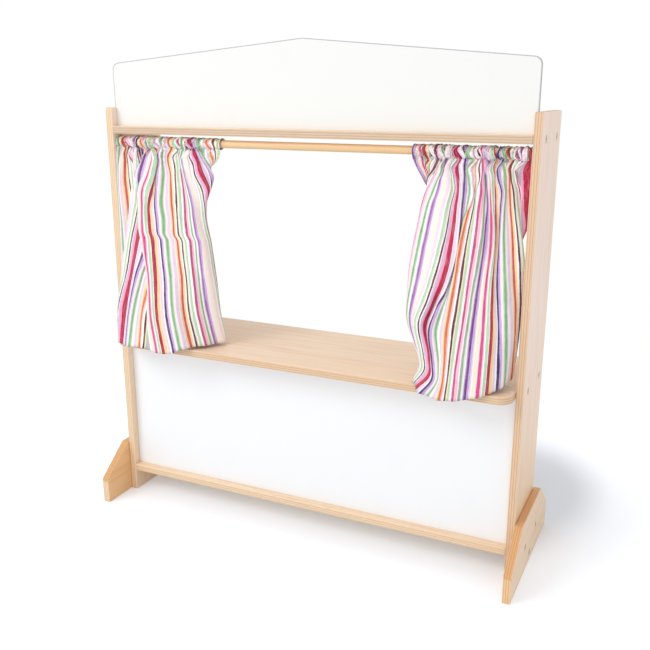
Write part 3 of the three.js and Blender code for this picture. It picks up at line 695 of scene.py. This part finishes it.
# %% Right curtain's folds
right_folds = {
    966: [(-175, 271, -84), (-115, 306, -84), (-60, 322, -84), (0, 338, -84), (50, 353, -84),
          (64, 361, -84), (139, 400, -84), (203, 431, -84), (281, 453, -84), (361, 486, -84),
          (400, 500, -84), (498, 529, -84)],
    945: [(-175, 281, -84), (-120, 307, -85), (-60, 316, -86), (0, 333, -91), (46, 352, -92),
          (64, 362, -92), (93, 375, -92), (139, 401, -92), (203, 431, -92), (281, 454, -92),
          (361, 487, -91), (400, 500, -90), (478, 507, -85), (498, 529, -86)],
    922: [(-175, 293, -82), (-140, 306, -79), (-60, 313, -80), (-14, 312, -86), (0, 320, -93),
          (17, 330, -96), (46, 350, -97), (64, 364, -96), (93, 378, -96), (139, 403, -96), (203, 431, -96),
          (281, 456, -96), (361, 488, -94), (400, 501, -90), (445, 500, -83), (478, 506, -82),
          (498, 529, -85)],
    906: [(-175, 302, -82), (-145, 311, -78), (-60, 314, -79), (-18, 308, -86), (0, 312, -94),
          (17, 325, -97), (31, 336, -98), (46, 349, -98), (64, 366, -97), (93, 380, -97), (118, 391, -97),
          (139, 405, -97), (165, 413, -94), (190, 420, -97), (203, 431, -97), (231, 441, -95),
          (258, 450, -97), (281, 458, -97), (309, 473, -97), (361, 489, -95), (386, 502, -92),
          (410, 510, -86), (445, 500, -80), (478, 508, -81), (498, 529, -85)],
    870: [(-175, 352, -79), (-110, 325, -76), (-40, 303, -80), (-12, 297, -88), (2, 301, -97),
          (17, 313, -102), (31, 327, -104), (46, 342, -104), (64, 360, -104), (93, 378, -103),
          (118, 391, -103), (139, 402, -102), (165, 406, -100), (190, 419, -104), (203, 429, -104),
          (231, 445, -101), (258, 454, -102), (281, 462, -101), (309, 474, -102), (361, 493, -98),
          (386, 507, -93), (402, 515, -87), (440, 500, -79), (478, 512, -79), (498, 529, -81)],
    824: [(-175, 400, -84), (-100, 345, -77), (-30, 299, -80), (-8, 290, -88), (3, 292, -98),
          (17, 304, -105), (31, 319, -109), (46, 335, -110), (64, 355, -111), (93, 376, -110),
          (118, 391, -109), (145, 397, -103), (168, 401, -108), (182, 409, -110), (203, 427, -110),
          (218, 440, -109), (240, 450, -104), (258, 459, -108), (285, 467, -104), (309, 475, -108),
          (331, 484, -107), (347, 493, -105), (376, 508, -98), (390, 516, -93), (402, 520, -87),
          (430, 505, -79), (465, 510, -77), (485, 524, -80), (498, 529, -79)],
    696: [(-175, 425, -90), (-100, 355, -79), (-30, 290, -82), (-10, 276, -92), (2, 276, -108),
          (17, 288, -123), (31, 302, -130), (46, 317, -133), (64, 334, -135), (93, 360, -137),
          (116, 371, -137), (126, 372, -129), (139, 376, -138), (168, 390, -140), (182, 403, -139),
          (203, 420, -137), (231, 441, -134), (258, 458, -131), (281, 472, -128), (309, 482, -125),
          (331, 497, -119), (347, 506, -113), (361, 515, -106), (376, 523, -96), (387, 525, -86),
          (400, 517, -79), (445, 482, -77), (498, 450, -84)],
    655: [(-175, 427, -91), (-100, 356, -80), (-30, 291, -83), (-8, 276, -94), (5, 276, -111),
          (17, 283, -126), (31, 295, -134), (46, 306, -139), (64, 323, -142), (73, 332, -143),
          (83, 341, -143), (92, 343, -134), (103, 346, -133), (110, 352, -141), (118, 358, -146),
          (139, 367, -147), (168, 386, -146), (182, 400, -146), (203, 418, -144), (231, 439, -142),
          (258, 459, -139), (281, 475, -136), (309, 488, -132), (331, 501, -125), (350, 513, -112),
          (364, 521, -101), (384, 525, -85), (399, 516, -79), (445, 478, -78), (498, 436, -87)],
    614: [(-175, 430, -92), (-100, 357, -80), (-30, 292, -84), (-6, 276, -96), (8, 276, -114),
          (31, 289, -136), (52, 303, -144), (73, 319, -149), (84, 328, -148), (93, 331, -142),
          (104, 336, -144), (118, 345, -152), (139, 358, -152), (168, 383, -153), (182, 397, -153),
          (203, 416, -152), (231, 438, -150), (258, 461, -147), (281, 479, -144), (309, 494, -140),
          (331, 506, -130), (350, 518, -116), (365, 523, -101), (381, 525, -86), (396, 516, -79),
          (445, 477, -78), (498, 433, -88)],
    540: [(-175, 435, -95), (-100, 365, -88), (-30, 312, -92), (0, 301, -106), (20, 303, -128),
          (50, 316, -145), (80, 339, -157), (93, 349, -161), (118, 359, -166), (139, 370, -169),
          (168, 387, -170), (203, 412, -169), (231, 437, -166), (258, 462, -160), (281, 479, -152),
          (309, 497, -139), (331, 508, -122), (350, 519, -104), (366, 524, -92), (380, 521, -82),
          (400, 503, -77), (445, 466, -78), (498, 422, -88)],
    505: [(-175, 438, -96), (-100, 372, -92), (-30, 325, -100), (10, 315, -118), (40, 319, -140),
          (60, 329, -152), (80, 343, -162), (93, 352, -167), (118, 362, -173), (139, 371, -177),
          (168, 386, -178), (203, 412, -177), (231, 437, -172), (258, 462, -165), (281, 479, -155),
          (309, 497, -137), (331, 508, -118), (350, 517, -101), (366, 521, -87), (379, 517, -77),
          (400, 498, -72), (445, 460, -75), (498, 416, -86)],
    470: [(-175, 440, -98), (-100, 372, -98), (-30, 322, -108), (10, 313, -124), (45, 309, -143),
          (70, 313, -158), (93, 322, -168), (118, 336, -176), (139, 352, -181), (168, 381, -185),
          (203, 411, -183), (231, 437, -178), (258, 461, -169), (281, 479, -157), (309, 496, -135),
          (331, 507, -115), (347, 514, -100), (364, 518, -83), (376, 514, -73), (400, 494, -68),
          (445, 455, -72), (498, 410, -84)],
}
right_hem = [(-175, 482), (0, 478), (45, 477), (75, 474), (100, 463), (118, 458), (139, 455),
             (168, 452), (203, 455), (231, 459), (258, 465), (281, 471), (309, 477), (331, 480),
             (347, 485), (364, 489), (400, 486), (498, 486)]
print("right curtain is set at", len(right_folds), "heights")

# %% [markdown]
# The heading is gathered: more than twice its width of cloth is pushed together on the rod, so it
# stands in small round pleats. If x is how far the heading has come after s of cloth, the share
# x/s says how much the cloth winds. A line whose direction swings as a sine, by an angle w, comes
# forward by the share J0(w), the Bessel function that is the mean of cos(w sin t). Reading that
# backwards gives the swing that stores the cloth there is, so pleats are deep where cloth is plenty.

# %% Pleats of the heading
def swing_for(share):
    """Gives the angle w at which the mean of cos(w sin t) is the share, from a table of the mean."""
    angles = np.linspace(0, 2.0, 81)
    turn = np.linspace(0, 2 * np.pi, 128, endpoint=False)
    means = np.cos(angles[:, None] * np.sin(turn)).mean(axis=1)
    return np.interp(share, means[::-1], angles[::-1])


def small_pleats(cloth, heading, pitch, seed):
    """Gives how far the pleats move each column along X and across the cloth, in millimetres. The
    direction is 1.12 w sin(p + 0.6 sin p) + wrinkles, where the phase p counts pleats of about the
    pitch along the heading, unevenly, and the wrinkles are two quicker waves. What the sum drifts
    away over 2.8 pleats is taken off again."""
    steps = np.gradient(cloth)
    share = np.gradient(heading) / steps
    count = (heading - heading[0]) / pitch
    uneven = 0.18 * np.sin(count * 1.9 + seed) + 0.10 * np.sin(count * 3.3 + 2 * seed)
    swing = swing_for(share) * (1 + 0.2 * np.sin(count * 2.3 + seed))
    turn = 2 * np.pi * count
    wrinkle = 0.6 * np.sin(2.6 * turn + seed) + 0.35 * np.sin(4.3 * turn + 2 * seed)
    phase = turn + 2 * np.pi * uneven
    direction = 1.12 * swing * np.sin(phase + 0.6 * np.sin(phase)) + wrinkle
    along = np.cumsum(np.cos(direction) * steps) - (heading - heading[0])
    depth = np.cumsum(np.sin(direction) * steps)
    window = max(3, int(round(2.8 * len(cloth) / count[-1])) | 1)
    kernel = np.hanning(window + 2)[1:-1]
    kernel = kernel / kernel.sum()
    trend = np.convolve(np.pad(depth, window // 2, mode="edge"), kernel, mode="valid")
    drift = np.convolve(np.pad(along, window // 2, mode="edge"), kernel, mode="valid")
    fade = np.clip(np.minimum(heading - heading[0], heading[-1] - heading) / 6, 0, 1)
    return (along - drift) * fade, (depth - trend) * fade


# %% [markdown]
# Real gathers are never regular. The top of each pleat leans a little, the stitches of the seam
# tug the cloth sideways and pucker it, and crumples run over everything. Each is a sum or product
# of two waves of unlike lengths, so that nothing comes back over the width of a curtain.

# %% Uneven gathers
def gathers(cloth, heading, pitch, seed):
    """Gives what moves each column of the heading, in millimetres: shift and lift are the pleats,
    lean, tug and pucker are uneven. Middle is 1, and falls to 0 over 25 mm at the curtain's sides,
    where the cloth has to stay beside the panel."""
    shift, stand = small_pleats(cloth, heading, pitch, seed)
    along = heading - heading[0]
    middle = np.clip(np.minimum(along, along[-1] - along) / 25, 0, 1)
    lean = 5.2 + 2.5 * np.sin(along / 9 + seed) + 1.6 * np.sin(along / 3.7 + 3 * seed)
    tug = 3.2 + 2.6 * np.sin(along / 7.3 + 4 * seed) + 1.5 * np.sin(along / 3.1 + seed)
    pucker = 3.2 * np.sin(along / 5.3 + 2 * seed) + 1.8 * np.sin(along / 2.4 + seed)
    lift = np.maximum(stand - stand.min() * 0.55, -0.6)
    return {"shift": shift, "lift": lift, "middle": middle, "lean": lean * middle,
            "tug": tug * middle, "pucker": pucker}


def crumples(cloth, turns, seed):
    """Gives the sideways shift and the outward swell of the crumples in the heading. Turns counts
    round the pocket and on down the cloth."""
    sway = 3.6 * np.sin(cloth / 9 + 1.5 * turns + seed) * np.sin(cloth / 31 + 2 * seed)
    swell = np.sin(cloth / 1.7 + 0.9 * turns) + 0.8 * np.sin(cloth / 2.7 - 1.1 * turns + seed)
    return sway, np.clip(swell + 0.4, 0, None) * 0.85


# %% [markdown]
# Down the cloth, a column of the grid starts at the seam behind the rod, goes over the rod and
# down its front to the seam, which closes the rod pocket. The path lists places in the section,
# Y and Z, and the second list says how far the small pleats stand out at each of them.

# %% Rod pocket
pocket_path = [(-82.4, 966), (-74, 969.4), (-66.6, 976.5), (-66.2, 983), (-70, 988.6), (-77, 991),
               (-84, 988.6), (-87.4, 983), (-87.6, 976.5), (-86.6, 970.5), (-85.4, 966)]
pocket_pleats = [-0.56, 0.0, 0.7, 0.8, 0.46, 0.26, 0.52, 0.95, 1.05, 0.82, 0.60]
pocket_rows = 32
under_rod = 972


def rod_pocket(cloth, heading, gather, seed):
    """Gives the rows of points round the rod. Each is a place of the path, moved away from the rod
    by pleats and crumples, and level with the floor under the rod. The pleats lean most over the
    front of the rod, at step 7 of the path, and the seam tugs and puckers them at step 10."""
    path = np.array(pocket_path, float)
    steps = np.arange(len(path))
    at = np.linspace(0, steps[-1], pocket_rows)
    ring = smooth_curve(steps, path, at)
    pleated = smooth_curve(steps, np.array(pocket_pleats)[:, None], at)
    outward = ring - np.array([rod_y * 1000, rod_z * 1000])
    outward[:, 1] = np.where(ring[:, 1] < under_rod, 0, outward[:, 1])
    outward = outward / np.linalg.norm(outward, axis=1)[:, None]
    at = at[:, None]
    lean_down = np.clip(1 - np.abs(at - 7.0) / 1.9, 0, 1)
    tug_down = np.clip(1 - np.abs(at - 10) / 2.2, 0, 1)
    sway, ripple = crumples(cloth, at, seed)
    sway = sway * gather["middle"] * np.clip((at - 3) / 3, 0, 1)
    x = heading + gather["shift"] * np.abs(pleated) * 1.15 + sway
    x = x - gather["lean"] * lean_down + gather["tug"] * tug_down
    out = gather["lift"] * pleated + ripple
    y = ring[:, :1] + outward[:, :1] * out
    z = ring[:, 1:] + outward[:, 1:] * out + gather["pucker"] * tug_down
    return np.stack([x, y, z], axis=-1)


print("the rod pocket has", pocket_rows, "rows and reaches", max(z for y, z in pocket_path), "mm")

# %% [markdown]
# From the seam the cloth hangs down to the hem. The small pleats are pinched there and fade out
# below it, while softer folds grow. Half way down, the left curtain keeps a crease from lying
# folded in its packing, which shows as a small step sideways in the stripes.

# %% Hanging folds
body_rows = 86
wave_length = 54


def mid_folds(cloth, drop, spread, seed, edge):
    """Gives the soft folds below the heading. Where a wave length of cloth hangs in the share s of
    its width, a wave that stores the rest is about wave_length / pi * sqrt(s (1 - s)) high. The
    waves are calm round the print at `edge`, where the cloth turns back."""
    share = np.clip(spread, 0.05, 0.95)
    spare = wave_length / np.pi * np.sqrt(share * (1 - share))
    down = drop[:, None]
    grow = np.clip((down - 0.01) / 0.12, 0, 1)
    strength = grow * (0.72 - 0.25 * down)
    bend = 0.22 * np.sin(4 * down + seed) + 0.10 * np.sin(cloth / 41 + seed)
    waves = np.sin(2 * np.pi * (cloth / wave_length + bend) + seed)
    swell = np.sin(2 * np.pi * (cloth / 103 - 0.3 * down) + 2 * seed)
    calm = 1 - 0.8 * np.exp(-(((cloth - edge) / 30) ** 2))
    return calm * (np.minimum(spare, 7.5) * strength * waves + 1.6 * grow * swell)


def pressed_crease(cloth, z, height, jump):
    """Gives how far a crease from packing moves the cloth along X: it steps sideways by the jump
    within a finger's width of height, and eases off a hand above and below."""
    away = z - height
    middle = np.exp(-(((cloth - 350) / 95) ** 2))
    return -jump * np.tanh(away / 5) * np.exp(-((away / 38) ** 2)) * middle


def hanging_cloth(cloth, levels, drops, bottom, gather, seed, crease_and_shade, edge):
    """Gives the rows of points from the seam to the hem, and the direction across the cloth in each.
    A point lies on the smooth curve through the fold tables, moved across the cloth by the soft
    folds and by the pleats and crumples, which fade with the distance fallen below the seam."""
    drop = np.linspace(0, 1, body_rows + 1)[1:] ** 1.25
    plan = smooth_curve(drops, levels, drop)
    tangent = np.gradient(plan, cloth, axis=1)
    length = np.linalg.norm(tangent, axis=2)[..., None]
    across = np.stack([-tangent[..., 1], tangent[..., 0]], axis=-1) / np.maximum(length, 0.15)
    depth = mid_folds(cloth, drop, length[..., 0], seed, edge)
    x, y = np.moveaxis(plan - across * depth[..., None], -1, 0)

    fallen = (drop * (seam_height - low_height))[:, None]
    small = (0.60 + 0.3 * np.clip(fallen / 14, 0, 1)) * np.exp(-((fallen / 80) ** 1.5))
    pinched = np.exp(-((fallen / 16) ** 1.5))
    tugged = np.exp(-((fallen / 9) ** 2)) - 0.6 * np.exp(-(((fallen - 19) / 10) ** 2))
    fading = np.exp(-fallen / 30)
    sway, ripple = crumples(cloth, 10 + fallen / 12, seed)
    z = seam_height - drop[:, None] * (seam_height - bottom) + gather["pucker"] * pinched
    x = x + gather["shift"] * small + gather["tug"] * tugged + sway * gather["middle"] * fading
    x = x + pressed_crease(cloth, z, *crease_and_shade)
    y = y - gather["lift"] * small * np.clip(1 - fallen / 140, 0, 1) - ripple * fading
    return np.stack([x, y, z], axis=-1), across


print("the hanging cloth has", body_rows, "rows with soft folds of", wave_length, "mm of cloth")

# %% [markdown]
# At the hem the cloth turns under and goes up again behind itself, so that its raw edge is hidden.
# The turned strip reads the same rows backwards, a little further in. Then all the rows are put
# below each other as one grid, whose flat map says where each point lay on the cut cloth.

# %% Curtains
cloth_columns = 372
hem_rows = 7
hem_turn = 14


def turned_hem(body, across):
    """Gives the rows of the strip that is turned under, 1.6 mm behind the hanging cloth."""
    turn = np.linspace(0, 1, hem_rows + 1)[1:]
    row_step = np.abs(body[-1, :, 2] - body[-3, :, 2]).mean() / 2
    under = smooth_curve(np.arange(body_rows), body, body_rows - 1 - hem_turn * turn**1.4 / row_step)
    push = 1.6 * np.clip(turn * 4, 0, 1)[:, None, None]
    under[..., :2] = under[..., :2] + across[-1][None] * push
    under[..., 2] = under[..., 2] - 0.8 * (turn < 0.2)[:, None]
    return under


def curtain(name, folds, hem, pitch, seed, crease_and_shade, edge):
    """Makes a curtain as one sheet from its fold tables, the height of its hem along the print, the
    pitch of its pleats, a seed for its waves, the height and jump of its crease, and the print at
    which it turns back."""
    heights = sorted(folds, reverse=True)
    start, end = folds[seam_height][0][0], folds[seam_height][-1][0]
    cloth = np.linspace(start, end, cloth_columns)
    drops = [(seam_height - height) / (seam_height - low_height) for height in heights]
    tables = [np.array(folds[height], float) for height in heights]
    levels = np.stack([smooth_curve(table[:, 0], table[:, 1:], cloth) for table in tables])
    heading = levels[0][:, 0]
    gather = gathers(cloth, heading, pitch, seed)
    bottom = smooth_curve([place for place, height in hem], [height for place, height in hem], cloth)
    pocket = rod_pocket(cloth, heading, gather, seed)
    body, across = hanging_cloth(cloth, levels, drops, bottom, gather, seed, crease_and_shade, edge)

    points = np.concatenate([pocket, body, turned_hem(body, across)]) / 1000
    fall = np.linalg.norm(np.diff(points, axis=0), axis=2).mean(axis=1) * 1000
    down = np.concatenate([[0], np.cumsum(fall)])
    u = np.broadcast_to((cloth - start) / cloth_width, points.shape[:2])
    v = np.broadcast_to(down[:, None] / cloth_length, points.shape[:2])
    piece = surface(name, points, np.stack([u, v], axis=-1))
    print(name, "cloth is", round(down[-1]), "mm long, seam at", round(down[pocket_rows - 1]),
          "mm, hem at", round(down[pocket_rows + body_rows - 1]), "mm")
    return piece


def sew(piece, folds, body):
    """Gives a curtain its thickness, its cloth and its place on its body."""
    wall = piece.modifiers.new("thickness", "SOLIDIFY")
    wall.thickness = 0.0006
    wall.offset = 0.0
    piece.data.materials.append(printed_cotton(piece.name + "_cotton", folds[seam_height][0][0]))
    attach(piece, body)
    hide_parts(body)


left_cloth = curtain("left_cloth", left_folds, left_hem, 13.0, 0.7, (750, 4.5), 478)
right_cloth = curtain("right_cloth", right_folds, right_hem, 11.0, 2.1, (700, 0.0), -4)
sew(left_cloth, left_folds, "left_curtain")
sew(right_cloth, right_folds, "right_curtain")

# %% [markdown]
# The floor runs far past the horizon, so no edge of it shows. It is a matt white that keeps the
# shadow of the stand. To the camera and to mirrors it also gives a little light of its own, a
# quarter of white, and more beyond 70 cm. That lifts the open floor as in a retouched picture. In
# a long oval behind the stand it gives none, which paints a deeper shadow there, fixed to the
# floor, over the real shadow of the lamps. Between one and two metres away the floor goes over to
# plain white and meets the white background.

# %% Floor
floor_half = 40
own_light = 0.25
oval_left = (-0.75, -0.65)
oval_right = 0.47
oval_middle = 0.36
oval_reach = (0.26, 0.42)


def studio_floor(name):
    """Makes a square floor at z = 0 with the stand at its middle."""
    mesh = bpy.data.meshes.new(name)
    corners = [(x * floor_half, y * floor_half, 0) for x, y in ((-1, -1), (1, -1), (1, 1), (-1, 1))]
    mesh.from_pydata(corners, [], [(0, 1, 2, 3)])
    finish = Finish(name + "_white")
    x = finish.axis("X")
    # Painted shadow: inside the oval the floor's own light is taken away, so a darker patch stays behind
    # the stand whatever the lamps do.
    out_x = (x - oval_right).math("MAXIMUM", 0.0) / oval_reach[0]
    out_y = (finish.axis("Y") - oval_middle) / oval_reach[1]
    round_end = (out_x * out_x + out_y * out_y).math("SQRT").step(0.45, 1.05, 1, 0)
    shade = round_end * x.step(*oval_left)
    place = finish.node("ShaderNodeTexCoord", output="Object")
    away = finish.node("ShaderNodeVectorMath", {"operation": "LENGTH"}, {0: place}, output="Value")
    share = own_light - shade * 0.27 + away.step(0.70, 1.0, 0, 0.12)
    colour = finish.mix(share, (0.0, 0.0, 0.0, 1.0), paint(252, 253, 255))
    strength = finish.ray("Camera").math("MAXIMUM", finish.ray("Glossy"))
    glow = finish.node("ShaderNodeEmission", {}, {"Color": colour, "Strength": strength})
    matt = finish.node("ShaderNodeBsdfDiffuse", {}, {"Color": paint(234, 238, 244)})
    near = finish.node("ShaderNodeAddShader", {}, {0: matt, 1: glow})
    far = finish.node("ShaderNodeEmission", {}, {"Color": (1.0, 1.0, 1.0, 1.0), "Strength": 1.0})
    share_far = finish.ray("Camera") * away.step(0.95, 1.9)
    both = finish.node("ShaderNodeMixShader", {}, {0: share_far, 1: near, 2: far})
    finish.show(both, "Material Output")
    mesh.materials.append(finish.material)
    add(name, mesh)


studio_floor("floor")
print("floor is", 2 * floor_half, "m wide")

# %% [markdown]
# Product pictures are lit from all round, so that nothing is dark, with one large soft lamp that
# gives the shadow its direction. Here it hangs at the upper left in front of the stand, and a
# weaker one near the camera lights what lies under the shelf. The world is the light from all
# round. To the camera and to mirrors it is plain white.

# %% Light
def lamp(name, place, target, size, power):
    """Adds a square area lamp that faces the target."""
    light = bpy.data.lights.new(name, "AREA")
    light.shape = "SQUARE"
    light.size = size
    light.energy = power
    aim(add(name, light), place, target)


lamp("key", (-1.9, -2.8, 3.1), (0, 0, 0.5), 1.8, 54)
lamp("fill", (1.2, -3.4, 1.2), (0, 0, 0.6), 2.4, 17)

world = bpy.data.worlds.new("studio")
world.use_nodes = True
sky = Finish("studio", world.node_tree)
mirrored = sky.ray("Glossy").math("MAXIMUM", sky.ray("Transmission"))
direct = sky.ray("Camera").math("MAXIMUM", mirrored)
ambient = sky.node("ShaderNodeBackground", {}, {"Color": (1.0, 1.0, 1.0, 1.0), "Strength": 0.80})
white = sky.node("ShaderNodeBackground", {}, {"Color": (1.0, 1.0, 1.0, 1.0), "Strength": 1.0})
both = sky.node("ShaderNodeMixShader", {}, {0: direct, 1: ambient, 2: white})
sky.show(both, "World Output")
bpy.context.scene.world = world
bpy.context.scene.view_settings.view_transform = "Standard"
print("two lamps and a white world")

# %% Finish
print("scene built")
